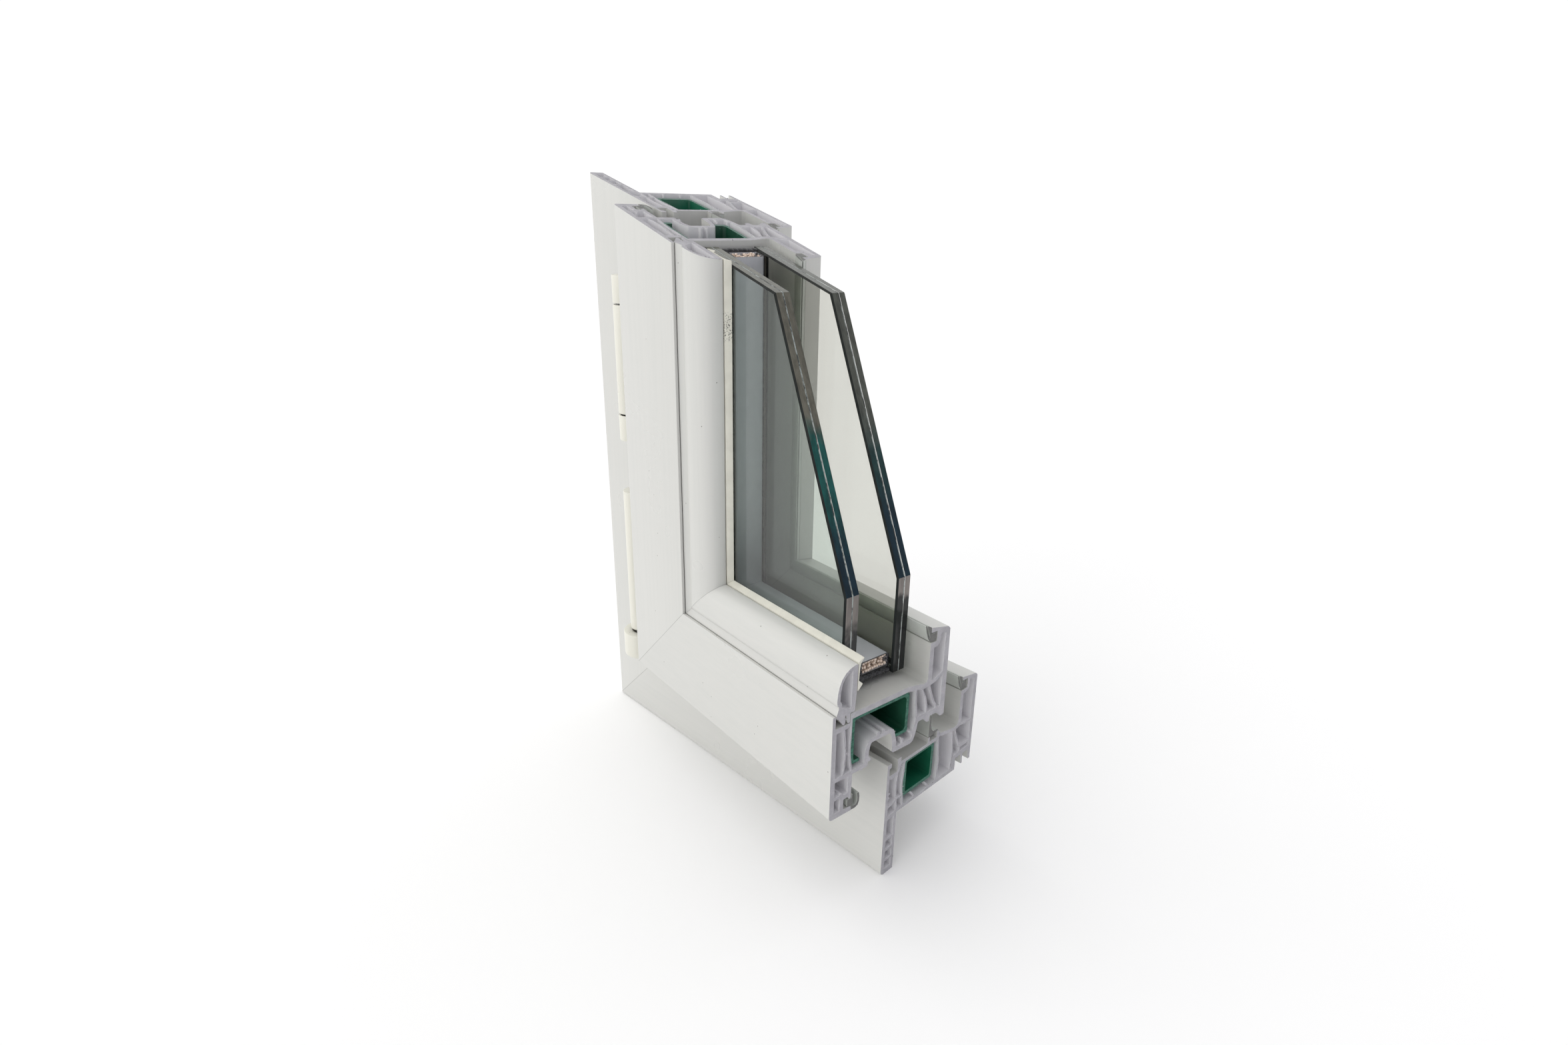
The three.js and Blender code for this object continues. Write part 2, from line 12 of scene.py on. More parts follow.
import bmesh
import bpy
from mathutils import Matrix, Vector
from mathutils.geometry import tessellate_polygon

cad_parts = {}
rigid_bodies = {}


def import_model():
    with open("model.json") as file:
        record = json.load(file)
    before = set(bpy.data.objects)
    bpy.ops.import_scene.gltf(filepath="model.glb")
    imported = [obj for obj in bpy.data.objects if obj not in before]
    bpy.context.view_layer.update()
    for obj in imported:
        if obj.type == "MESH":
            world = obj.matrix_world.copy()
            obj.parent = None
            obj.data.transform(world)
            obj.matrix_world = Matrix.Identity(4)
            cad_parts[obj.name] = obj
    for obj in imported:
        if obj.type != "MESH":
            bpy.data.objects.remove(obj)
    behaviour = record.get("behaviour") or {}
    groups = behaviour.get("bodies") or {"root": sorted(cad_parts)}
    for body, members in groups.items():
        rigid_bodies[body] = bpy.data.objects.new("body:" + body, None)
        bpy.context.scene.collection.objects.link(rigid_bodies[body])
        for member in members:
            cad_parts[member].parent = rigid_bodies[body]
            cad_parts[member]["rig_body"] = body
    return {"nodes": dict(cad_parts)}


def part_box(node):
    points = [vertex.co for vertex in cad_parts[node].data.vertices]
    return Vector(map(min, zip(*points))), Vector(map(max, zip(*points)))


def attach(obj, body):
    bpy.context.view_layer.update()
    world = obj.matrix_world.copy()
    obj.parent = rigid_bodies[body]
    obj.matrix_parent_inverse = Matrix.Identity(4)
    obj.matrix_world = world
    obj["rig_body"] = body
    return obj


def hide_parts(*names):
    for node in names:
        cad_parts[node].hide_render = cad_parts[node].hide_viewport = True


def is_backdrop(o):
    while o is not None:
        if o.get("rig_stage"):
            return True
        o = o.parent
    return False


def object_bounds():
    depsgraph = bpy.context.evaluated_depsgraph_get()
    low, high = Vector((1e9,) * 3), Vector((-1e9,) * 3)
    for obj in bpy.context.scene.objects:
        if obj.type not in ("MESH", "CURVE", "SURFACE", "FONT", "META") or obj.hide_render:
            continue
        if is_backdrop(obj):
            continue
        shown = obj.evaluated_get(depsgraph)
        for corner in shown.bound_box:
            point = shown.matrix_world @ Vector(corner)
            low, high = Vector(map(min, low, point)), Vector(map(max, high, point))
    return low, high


MM = 0.001

# Colours of plastic, rubber and metal. All colours are linear.
UPVC_WHITE = (0.580, 0.580, 0.556, 1)
# Painted light: the inner chamber walls are the same white plastic as the faces, coloured paler and cooler
# for the cool sky light on them.
CHAMBER_PAINTED_LIGHT = (0.74, 0.73, 0.75, 1)
COVER_IVORY = (0.70, 0.69, 0.615, 1)
SAW_PALE = (0.44, 0.432, 0.455, 1)
SAW_GREY = (0.365, 0.358, 0.382, 1)
SAW_MARK = (0.31, 0.30, 0.325, 1)
DIRT = (0.10, 0.09, 0.08, 1)
GRIT = (0.03, 0.03, 0.028, 1)
SEAL_GREY = (0.47, 0.49, 0.46, 1)
SEAL_CUT_GREY = (0.12, 0.12, 0.115, 1)
SEAL_CREAM = (0.60, 0.59, 0.52, 1)
# Painted shade: the weld plate lies flush, and its darker grey stands for the shadow in the groove of a
# cleaned weld.
WELD_PAINTED_SHADE = (0.33, 0.33, 0.32, 1)
PRIMER_RUB = (0.10, 0.30, 0.21, 1)
STEEL_SMEAR_DARK = (0.008, 0.075, 0.050, 1)
STEEL_SMEAR_PALE = (0.045, 0.165, 0.115, 1)
ALUMINIUM_DULL = (0.42, 0.425, 0.455, 1)
ALUMINIUM_PALE = (0.46, 0.465, 0.495, 1)
BUTYL_DARK = (0.008, 0.008, 0.010, 1)
BUTYL_PALE = (0.03, 0.03, 0.033, 1)
BEAD_PALE = (0.86, 0.74, 0.64, 1)
BEAD_TAN = (0.62, 0.48, 0.38, 1)
# Painted shade: the dark colour of the desiccant core, which stands for the shade in the gaps between the
# beads.
BEAD_GAP_PAINTED_SHADE = (0.05, 0.042, 0.036, 1)
ZINC_DULL = (0.42, 0.43, 0.44, 1)
ZINC_PALE = (0.56, 0.57, 0.57, 1)
PACKER_DARK = (0.05, 0.10, 0.26, 1)
PACKER_PALE = (0.07, 0.13, 0.32, 1)

# What the glass lets through, and the colours painted on the panes' ground rims: painted reflection and shade
# that stand for what light shows through a glass edge
INNER_TINT = (0.900, 0.948, 0.928, 1)
OUTER_TINT = (0.835, 0.835, 0.805, 1)
# Painted reflection and shade on the rims: these pink, olive, teal, navy and slate colours stand for what the
# glass edge shows, not for a colour of the glass.
BROWN_GREY = (0.115, 0.110, 0.088, 1)
PINK_GREY = (0.19, 0.170, 0.156, 1)
OLIVE = (0.090, 0.092, 0.070, 1)
TEAL = (0.007, 0.070, 0.063, 1)
DARK_TEAL = (0.009, 0.034, 0.034, 1)
NAVY = (0.005, 0.020, 0.032, 1)
SLATE = (0.008, 0.010, 0.010, 1)
SLATE_GREY = (0.075, 0.080, 0.068, 1)
# Painted shade: the ground arris is coloured nearly black for the dark band that a glass edge shows by
# refraction.
ARRIS_LOW = (0.010, 0.014, 0.014, 1)
ARRIS_HIGH = (0.022, 0.024, 0.022, 1)
CHIP = (0.45, 0.47, 0.46, 1)
FILM_DARK = (0.035, 0.038, 0.038, 1)
FILM_MILKY = (0.33, 0.36, 0.35, 1)

# Shape
LEGS = {"rail": Vector((1, 0, 0)), "jamb": Vector((0, 0, 1))}
AJAR = math.radians(5.94)        # the sash at rest is turned this far about Z
CAD_MITRE = 0.155 * MM           # each CAD leg stands this far off its mitre plane
WELD = 0.11 * MM                 # half the thickness of the weld line that shows between two legs
BUTT = 0.04 * MM                 # half the gap left between two legs that only butt
PROFILE_CORNER = 0.45 * MM
STEEL_CORNER = 1.2 * MM
COVER_EDGE = 0.5 * MM
SOFTEN_FROM = math.radians(20)   # corners that turn less than this stay as they are
SOFTEN_REACH = 0.35              # the most of a side that a rounded corner takes
CORNER_STEPS = 3
SOILED_FROM = 217 * MM           # heights of the grit on the glazing beads' seal
SOILED_TO = 232 * MM
SOILED_FADE = 3 * MM
ARRIS = 0.8 * MM                 # ground off the outer edges of each laminated pane
FILM_SHOWN = 0.6 * MM            # the film is clear, so only this much of it is shown, round the rim

# Desiccant beads in the spacer bar's open ends
BEAD_RADIUS = 0.78 * MM
BEAD_STEP = BEAD_RADIUS * 1.9    # from one bead to the next
BEAD_LAYERS = 3
BEAD_LAYER_SHARE = 0.9           # from one layer to the next, in steps
BEAD_SUNK = 0.8 * MM             # how far the first layer lies inside the bar
BEAD_JITTER = 0.3                # in radii
BEADS_LOST = 0.16                # share of the first layer that has fallen out
# Painted shade: the core behind the loose beads is coloured dark for the shade between them.
CORE_DEPTH = 4                   # how deep the dark core behind the beads starts, in radii

# Flakes that hang on the sawn edges
FLAKE_EDGE = 1.5 * MM            # they hang only on edges that are longer than this
FLAKE_ROOT = 0.15 * MM
PROFILE_FLAKES = 34
BEAD_FLAKES = 12

# Floor and camera
FLOOR_RADIUS = 40
CAMERA_AT = Vector((310.26, -295.52, 274.99)) * MM
CAMERA_AZIMUTH = 45.72
CAMERA_ELEVATION = 20.65
CAMERA_ROLL = 0.9
CAMERA_LENS = 19.06
SENSOR = 36

# Sockets of the Mix node when it mixes colours
MIX_FACTOR = 0
MIX_FIRST = 6
MIX_SECOND = 7
MIX_RESULT = 2

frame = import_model()
nodes = frame["nodes"]
cad_low, cad_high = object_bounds()


# ---------------------------------------------------------------- node material helpers


class Nodes:
    """A material's node tree, with short calls to add and link nodes."""

    def __init__(self, name, **principled):
        self.material = bpy.data.materials.new(name)
        self.material.use_nodes = True
        self.tree = self.material.node_tree
        self.shader = self.tree.nodes["Principled BSDF"]
        self.output = self.tree.nodes["Material Output"]
        self.place = self.add("ShaderNodeTexCoord").outputs["Object"]
        for socket, value in principled.items():
            self.shader.inputs[socket.replace("_", " ")].default_value = value

    def add(self, kind, **settings):
        node = self.tree.nodes.new(kind)
        for key, value in settings.items():
            setattr(node, key, value)
        return node

    def link(self, source, target):
        self.tree.links.new(source, target)

    def put(self, value, socket):
        """Links the socket if value is a socket too, or else sets it."""
        if isinstance(value, bpy.types.NodeSocket):
            self.link(value, socket)
        else:
            socket.default_value = value

    def feed(self, node, **inputs):
        """Sets or links a node's inputs by name, and returns its first output."""
        for name, value in inputs.items():
            self.put(value, node.inputs[name.replace("_", " ")])
        return node.outputs[0]

    def height(self):
        """The height of each point."""
        split = self.add("ShaderNodeSeparateXYZ")
        self.link(self.place, split.inputs[0])
        return split.outputs["Z"]

    def stretched(self, scale, turn=(0, 0, 0)):
        """Object coordinates in metres, turned and then scaled."""
        return self.feed(self.add("ShaderNodeMapping"), Vector=self.place, Scale=scale, Rotation=turn)

    def noise(self, scale, detail=3, roughness=0.5, at=None):
        node = self.add("ShaderNodeTexNoise")
        return self.feed(node, Vector=at or self.place, Scale=scale, Detail=detail, Roughness=roughness)

    def ramp(self, value, low, high, black=0.0, white=1.0, kind="SMOOTHSTEP"):
        """Maps low..high to black..white."""
        node = self.add("ShaderNodeMapRange", interpolation_type=kind)
        return self.feed(node, Value=value, From_Min=low, From_Max=high, To_Min=black, To_Max=white)

    def maths(self, operation, a, b):
        node = self.add("ShaderNodeMath", operation=operation)
        for socket, value in zip(node.inputs, (a, b)):
            self.put(value, socket)
        return node.outputs[0]

    def mix(self, factor, a, b, blend="MIX"):
        node = self.add("ShaderNodeMix", data_type="RGBA", blend_type=blend)
        for index, value in ((MIX_FACTOR, factor), (MIX_FIRST, a), (MIX_SECOND, b)):
            self.put(value, node.inputs[index])
        return node.outputs[MIX_RESULT]

    def bump(self, height, distance, strength, onto=None):
        node = self.add("ShaderNodeBump")
        self.feed(node, Height=height, Distance=distance, Strength=strength)
        if onto is not None:
            self.link(onto, node.inputs["Normal"])
        return node.outputs[0]

    def wear(self, **inputs):
        """Feeds the principled shader."""
        self.feed(self.shader, **inputs)
        return self.material


def grey(value):
    return (value, value, value, 1)


# ---------------------------------------------------------------- materials


def upvc_face(name, tint=UPVC_WHITE, lines=(1, 1, 1)):
    """Extruded face with a soft gloss: die lines along the leg and a few crisp specks of dirt."""
    n = Nodes(name, IOR=1.48)
    drawn = n.noise(420, 3, 0.6, n.stretched(lines))
    deeper = (tint[0] * 0.975, tint[1] * 0.98, tint[2] * 0.98, 1)
    base = n.mix(n.ramp(drawn, 0.35, 0.7), tint, deeper)
    cells = n.add("ShaderNodeTexVoronoi")
    n.feed(cells, Vector=n.place, Scale=200, Randomness=1)
    dot = n.ramp(cells.outputs["Distance"], 0.045, 0.065, 0.85, 0)
    chosen = n.ramp(cells.outputs["Color"], 0.70, 0.71)
    base = n.mix(n.maths("MULTIPLY", dot, chosen), base, DIRT)
    rough = n.ramp(n.noise(25, 3), 0.3, 0.7, 0.27, 0.33)
    return n.wear(Base_Color=base, Roughness=rough, Normal=n.bump(drawn, 0.00002, 0.2))


def upvc_sawn():
    """Matt sawn end: fine tooth marks, a cooler colour and whitish bruised patches."""
    n = Nodes("upvc_sawn", IOR=1.48, Roughness=0.62)
    marks = n.noise(700, 3, 0.6, n.stretched((0.25, 1, 1.6), (0.5, 0.2, 0)))
    cloudy = n.noise(180, 4, 0.6)
    base = n.mix(n.ramp(cloudy, 0.35, 0.7), SAW_GREY, SAW_PALE)
    base = n.mix(n.ramp(marks, 0.4, 0.75, 0, 0.4), base, SAW_MARK)
    rough = n.bump(marks, 0.0002, 0.6, n.bump(n.noise(2400, 3, 0.6), 0.0001, 0.4))
    return n.wear(Base_Color=base, Normal=rough)


def rubber(name, tint):
    """Soft seal: matt, slightly dusty, with faint pits."""
    n = Nodes(name, IOR=1.45)
    cloudy = n.noise(120, 4, 0.6)
    pale = tuple(min(c * 1.25 + 0.02, 1) for c in tint[:3]) + (1,)
    base = n.mix(n.ramp(cloudy, 0.35, 0.75, 0, 0.5), tint, pale)
    rough = n.ramp(n.noise(300, 2), 0.3, 0.7, 0.45, 0.65)
    pits = n.bump(n.noise(1800, 3, 0.6), 0.00005, 0.5)
    return n.wear(Base_Color=base, Roughness=rough, Normal=pits)


def soiled_rubber(name, tint, low, high):
    """Soft seal with a patch of black grit between two heights."""
    n = Nodes(name, IOR=1.45, Roughness=0.6)
    height = n.height()
    rise = n.ramp(height, low, low + SOILED_FADE)
    fall = n.ramp(height, high - SOILED_FADE, high, 1, 0)
    grit = n.ramp(n.noise(1500, 3, 0.7), 0.54, 0.60)
    pale = tuple(min(c * 1.1, 1) for c in tint[:3]) + (1,)
    base = n.mix(n.ramp(n.noise(150, 3), 0.3, 0.7), tint, pale)
    base = n.mix(n.maths("MULTIPLY", grit, n.maths("MULTIPLY", rise, fall)), base, GRIT)
    return n.wear(Base_Color=base, Normal=n.bump(n.noise(1800, 3, 0.6), 0.00005, 0.5))


def green_paint(name, brightness):
    """Green primer over rolled steel, with a little texture and pale rubs. A brightness below 1 darkens it
    all as painted shade.
    """
    n = Nodes(name, IOR=1.5)
    cloudy = n.noise(70, 4, 0.6)
    deep = (0.008, 0.115 * brightness, 0.062 * brightness, 1)
    pale = (0.012, 0.165 * brightness, 0.092 * brightness, 1)
    base = n.mix(n.ramp(cloudy, 0.3, 0.75), deep, pale)
    rub = n.ramp(n.noise(260, 3, 0.7), 0.66, 0.74, 0, 0.5)
    base = n.mix(rub, base, PRIMER_RUB)
    rough = n.ramp(n.noise(180, 3), 0.3, 0.7, 0.28, 0.5)
    return n.wear(Base_Color=base, Roughness=rough, Normal=n.bump(n.noise(900, 3), 0.00008, 0.5))


def steel_sawn():
    """Cut edge of the green steel: metal that the saw smeared with paint."""
    n = Nodes("steel_sawn", Metallic=0.5)
    marks = n.noise(1200, 3, 0.6, n.stretched((1, 0.3, 1), (0.3, 0, 0.4)))
    base = n.mix(n.ramp(marks, 0.4, 0.6), STEEL_SMEAR_DARK, STEEL_SMEAR_PALE)
    rough = n.ramp(marks, 0.3, 0.7, 0.3, 0.55)
    return n.wear(Base_Color=base, Roughness=rough, Normal=n.bump(marks, 0.0001, 0.5))


def see_through(name, tint, mirror_share):
    """One face of clear glass: what passes is tinted, and a share of the light is mirrored.

    The mirrored share rises towards a glancing view, as on a real pane.
    """
    n = Nodes(name)
    n.tree.nodes.remove(n.shader)
    clear = n.add("ShaderNodeBsdfTransparent")
    deeper = tuple(c * 0.985 for c in tint[:3]) + (1,)
    n.feed(clear, Color=n.mix(n.ramp(n.noise(6, 2), 0.3, 0.7), tint, deeper))
    mirror = n.add("ShaderNodeBsdfGlossy")
    n.feed(mirror, Roughness=n.ramp(n.noise(40, 4, 0.6), 0.4, 0.8, 0.01, 0.04), Color=(1, 1, 1, 1))
    facing = n.add("ShaderNodeLayerWeight").outputs["Facing"]
    glance = n.maths("MULTIPLY", n.maths("POWER", facing, 5), 0.95)
    blend = n.add("ShaderNodeMixShader")
    n.link(n.maths("ADD", glance, mirror_share), blend.inputs[0])
    n.link(clear.outputs[0], blend.inputs[1])
    n.link(mirror.outputs[0], blend.inputs[2])
    n.link(blend.outputs[0], n.output.inputs["Surface"])
    return n.material


def pane_edge_painted_light(name, low, high, stops, gloss=1.36, roughness=0.08):
    """Ground edge of a pane: glossy, with painted reflection and shade, a dark colour that changes with
    height, and with chips and scratches.
    """
    n = Nodes(name, IOR=gloss)
    height = n.height()
    wander = n.maths("MULTIPLY", n.maths("SUBTRACT", n.noise(60, 3, 0.6), 0.5), 0.03)
    level = n.ramp(n.maths("ADD", height, wander), low, high, kind="LINEAR")
    colours = n.add("ShaderNodeValToRGB")
    n.link(level, colours.inputs[0])
    first, last = colours.color_ramp.elements
    first.position, first.color = stops[0]
    last.position, last.color = stops[-1]
    for position, colour in stops[1:-1]:
        colours.color_ramp.elements.new(position).color = colour
    streaks = n.ramp(n.noise(40, 4, 0.6, n.stretched((7, 7, 0.7))), 0.3, 0.7, 0.72, 1.25)
    shaded = n.mix(1, colours.outputs[0], streaks, blend="MULTIPLY")
    chips = n.ramp(n.noise(900, 3, 0.7), 0.77, 0.82, 0, 0.6)
    base = n.mix(chips, shaded, CHIP)
    rough = n.ramp(n.noise(150, 3, 0.6), 0.3, 0.7, roughness, roughness + 0.15)
    return n.wear(Base_Color=base, Roughness=rough, Normal=n.bump(n.noise(300, 3), 0.0001, 0.12))


def pane_rims(name, low, high):
    """Materials of a pane's rim: its upright foot, its slanting cut and its top, each with its own painted
    reflection and shade by height.
    """
    if name == "inner_pane":
        slant = ((0.0, NAVY), (0.33, NAVY), (0.46, TEAL), (0.58, TEAL), (0.64, BROWN_GREY), (1.0, BROWN_GREY))
        foot = ((0.0, SLATE), (0.13, SLATE), (0.16, PINK_GREY), (0.24, PINK_GREY))
        crown = ((0.0, OLIVE), (1.0, OLIVE))
    else:
        slant = ((0.0, NAVY), (0.42, NAVY), (0.52, DARK_TEAL), (0.64, SLATE_GREY), (1.0, SLATE_GREY))
        foot = ((0.0, SLATE), (0.18, SLATE), (0.20, PINK_GREY), (0.25, PINK_GREY))
        crown = ((0.0, SLATE_GREY), (1.0, SLATE_GREY))
    return [
        pane_edge_painted_light(f"{name}_{part}", low, high, stops)
        for part, stops in (("foot", foot), ("slant", slant), ("crown", crown))
    ]


def film_edge():
    """The laminate's film at a cut edge: a thin grey line, milky in places."""
    n = Nodes("film_edge", Roughness=0.5)
    broken = n.ramp(n.noise(120, 5, 0.75), 0.42, 0.54)
    return n.wear(Base_Color=n.mix(broken, FILM_DARK, FILM_MILKY))


def aluminium():
    """The spacer bar's dull faces."""
    n = Nodes("spacer_face", Metallic=0.25)
    cloudy = n.noise(150, 3)
    base = n.mix(n.ramp(cloudy, 0.3, 0.7), ALUMINIUM_DULL, ALUMINIUM_PALE)
    return n.wear(Base_Color=base, Roughness=n.ramp(cloudy, 0.3, 0.7, 0.35, 0.55))


def sealant(name):
    """Butyl and sealant: black, lumpy, and shiny in places."""
    n = Nodes(name, IOR=1.5)
    lumps = n.noise(380, 4, 0.6)
    base = n.mix(n.ramp(lumps, 0.35, 0.7), BUTYL_DARK, BUTYL_PALE)
    rough = n.ramp(lumps, 0.3, 0.7, 0.16, 0.4)
    return n.wear(Base_Color=base, Roughness=rough, Normal=n.bump(lumps, 0.0004, 0.35))


def desiccant():
    """Chalky beads, from pale pink to tan."""
    n = Nodes("desiccant_beads", Roughness=0.85)
    tone = n.noise(900, 2)
    return n.wear(Base_Color=n.mix(n.ramp(tone, 0.35, 0.65), BEAD_PALE, BEAD_TAN))


def plain_metal():
    """Zinc-plated steel with drawing lines."""
    n = Nodes("zinc_plate", Metallic=1.0)
    drawn = n.noise(500, 3, 0.5, n.stretched((1, 1, 0.05)))
    base = n.mix(n.ramp(drawn, 0.3, 0.7), ZINC_DULL, ZINC_PALE)
    return n.wear(Base_Color=base, Roughness=n.ramp(drawn, 0.3, 0.7, 0.25, 0.42))


def packer_plastic():
    """Blue moulded plastic of the glazing packers."""
    n = Nodes("packer_plastic", IOR=1.5)
    tone = n.noise(200, 3)
    base = n.mix(n.ramp(tone, 0.3, 0.7), PACKER_DARK, PACKER_PALE)
    return n.wear(Base_Color=base, Roughness=n.ramp(tone, 0.3, 0.7, 0.4, 0.6))


FACES = {
    "rail": upvc_face("upvc_rail_face", lines=(0.02, 1, 1)),
    "jamb": upvc_face("upvc_jamb_face", lines=(1, 1, 0.02)),
}
# Painted light: the same plastic as the faces, in a paler, cooler colour for the light on the chamber walls.
INSIDE_PAINTED_LIGHT = upvc_face("upvc_inside_painted_light", CHAMBER_PAINTED_LIGHT)
SAWN = upvc_sawn()
SEAL = rubber("grey_seal", SEAL_GREY)
SEAL_CUT = rubber("grey_seal_cut", SEAL_CUT_GREY)
CREAM = rubber("cream_seal", SEAL_CREAM)
SOILED = soiled_rubber("soiled_cream_seal", SEAL_CREAM, SOILED_FROM, SOILED_TO)
GREEN = green_paint("green_paint", 0.95)
# Painted shade: the same green paint darkened, for the sash's steel that lies in shade inside its chambers.
GREEN_PAINTED_SHADE = green_paint("green_paint_painted_shade", 0.55)
STEEL_CUT = steel_sawn()
INNER_GLASS = see_through("inner_glass", INNER_TINT, 0.06)
OUTER_GLASS = see_through("outer_glass", OUTER_TINT, 0.05)
# Painted shade on the arris: nearly black, standing for the dark band of the glass edge.
ARRIS_PAINTED_SHADE = ((0.0, ARRIS_LOW), (1.0, ARRIS_HIGH))
ARRIS_DARK = pane_edge_painted_light("glass_arris_painted_shade", 0, 0.3, ARRIS_PAINTED_SHADE, gloss=1.2, roughness=0.45)
FILM = film_edge()
SPACER = aluminium()
SPACER_CUT = sealant("spacer_cut")
WELD_LINE_PAINTED_SHADE = rubber("weld_line_painted_shade", WELD_PAINTED_SHADE)
BLACK = sealant("black_sealant")
BEADS = desiccant()
GAPS_PAINTED_SHADE = rubber("between_beads_painted_shade", BEAD_GAP_PAINTED_SHADE)
ZINC = plain_metal()
IVORY = upvc_face("ivory_cover", COVER_IVORY, lines=(2, 2, 0.1))
PACKER = packer_plastic()

# ---------------------------------------------------------------- swept legs


def turned(vector, body):
    """A direction in the closed sash, as it lies with the sash ajar."""
    return Matrix.Rotation(-AJAR, 3, "Z") @ vector if body == "sash" else vector


def shown(name, mesh, body, materials, instead_of=()):
    """Makes an object of a bmesh, which rides on a body and may stand for CAD nodes."""
    data = bpy.data.meshes.new(name)
    mesh.to_mesh(data)
    mesh.free()
    for material in materials:
        data.materials.append(material)
    piece = bpy.data.objects.new(name, data)
    bpy.context.scene.collection.objects.link(piece)
    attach(piece, body)
    if instead_of:
        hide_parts(*instead_of)
    return piece


def sharpened(piece, degrees):
    """Keeps a piece's edges sharp where its faces turn by more than this."""
    piece.data.set_sharp_from_angle(angle=math.radians(degrees))


def merged(node):
    """A bmesh of a node, with its doubled corners joined."""
    mesh = bmesh.new()
    mesh.from_mesh(node.data)
    bmesh.ops.remove_doubles(mesh, verts=mesh.verts, dist=1e-6)
    mesh.normal_update()
    return mesh


def sides(ring):
    """A ring's sides, as pairs of points."""
    return list(zip(ring, ring[1:] + ring[:1]))


def ring_length(ring):
    return sum((a - b).length for a, b in sides(ring))


def rings_round(faces):
    """The closed rings that bound a patch of faces, longest first."""
    after = {}
    for face in faces:
        for loop in face.loops:
            if any(other not in faces for other in loop.edge.link_faces):
                after[loop.vert] = loop.link_loop_next.vert
    rings = []
    while after:
        vert = next(iter(after))
        ring = []
        while vert in after:
            ring.append(vert.co.copy())
            vert = after.pop(vert)
        rings.append(ring)
    return sorted(rings, key=ring_length, reverse=True)


def section(node_name):
    """A swept node's direction, the rings round its sawn end, and the planes of its two ends."""
    node = nodes[node_name]
    leg = LEGS["rail" if "rail" in node_name else "jamb"]
    along = turned(leg, node["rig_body"])
    mesh = merged(node)
    near = [f for f in mesh.faces if f.normal.dot(along) > 0.1]
    far = next(f for f in mesh.faces if f.normal.dot(along) < -0.1)
    rings = rings_round(near)
    planes = [(face.verts[0].co.copy(), face.normal.copy()) for face in (near[0], far)]
    mesh.free()
    return along, rings, planes[0], planes[1]


def softened(ring, radius):
    """The ring with each of its sharper corners replaced by a curve."""
    soft = []
    for i, point in enumerate(ring):
        before = ring[i - 1] - point
        after = ring[(i + 1) % len(ring)] - point
        turn = math.pi - before.angle(after)
        if turn < SOFTEN_FROM:
            soft.append(point)
            continue
        wanted = radius * math.tan(turn / 2)
        reach = min(wanted, SOFTEN_REACH * before.length, SOFTEN_REACH * after.length)
        start = point + before.normalized() * reach
        end = point + after.normalized() * reach
        for step in range(CORNER_STEPS + 1):
            t = step / CORNER_STEPS
            soft.append(start * (1 - t) ** 2 + point * 2 * t * (1 - t) + end * t ** 2)
    return soft


def meet(point, along, plane):
    """Where the line through point along the sweep meets a plane."""
    origin, normal = plane
    return point + along * ((origin - point).dot(normal) / along.dot(normal))


def sweep(rings, along, near, far):
    """A closed bmesh: sides in slot 0, inner sides in slot 1, near end in slot 2, far end in slot 3."""
    mesh = bmesh.new()
    ends = ([], [])
    for depth, ring in enumerate(rings):
        top = [mesh.verts.new(meet(p, along, near)) for p in ring]
        low = [mesh.verts.new(meet(p, along, far)) for p in ring]
        ends[0].append(top)
        ends[1].append(low)
        for i in range(len(ring)):
            j = (i + 1) % len(ring)
            quad = mesh.faces.new((low[i], low[j], top[j], top[i]))
            quad.smooth = True
            quad.material_index = min(depth, 1)
    for group, slot in zip(ends, (2, 3)):
        flat = [vert for ring in group for vert in ring]
        for triangle in tessellate_polygon([[v.co for v in ring] for ring in group]):
            corners = [flat[i] for i in triangle]
            if len(set(corners)) == 3 and not mesh.faces.get(corners):
                mesh.faces.new(corners).material_index = slot
    bmesh.ops.recalc_face_normals(mesh, faces=mesh.faces)
    return mesh


def swept(node_name, radius, outside, inside, end, gap):
    """Stands for a swept node: its section with rounded corners, between the same ends, gap off the mitre."""
    along, rings, near, far = section(node_name)
    rings = [softened(ring, radius) for ring in rings]
    mitre_normal = far[1]
    off_mitre = far[0] + mitre_normal * (CAD_MITRE - gap)
    mesh = sweep(rings, along, near, (off_mitre, mitre_normal))
    body = nodes[node_name]["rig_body"]
    materials = (outside, inside, end, end)
    piece = shown(f"{node_name}_look", mesh, body, materials, [node_name])
    sharpened(piece, 32)


def reinforcement(node_name, body):
    """Stands for a steel section, with the rounded corners of folded sheet."""
    along, rings, near, far = section(node_name)
    mesh = sweep([softened(ring, STEEL_CORNER) for ring in rings], along, near, far)
    # Painted shade: the sash's steel takes the darkened copy of the green paint.
    coat = GREEN_PAINTED_SHADE if body == "sash" else GREEN
    materials = (coat, coat, STEEL_CUT, STEEL_CUT)
    piece = shown(f"{node_name}_look", mesh, body, materials, [node_name])
    sharpened(piece, 40)


def weld(name, node_name):
    """The weld between two legs: a thin plate of their section in the mitre plane, coloured grey as painted
    shade of the weld's groove.
    """
    along, rings, near, far = section(node_name)
    rings = [softened(ring, PROFILE_CORNER) for ring in rings]
    centre, normal = far[0] + far[1] * CAD_MITRE, far[1]
    mesh = sweep(rings, along, (centre - normal * WELD, normal), (centre + normal * WELD, normal))
    shown(name, mesh, nodes[node_name]["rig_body"], (WELD_LINE_PAINTED_SHADE,) * 4)


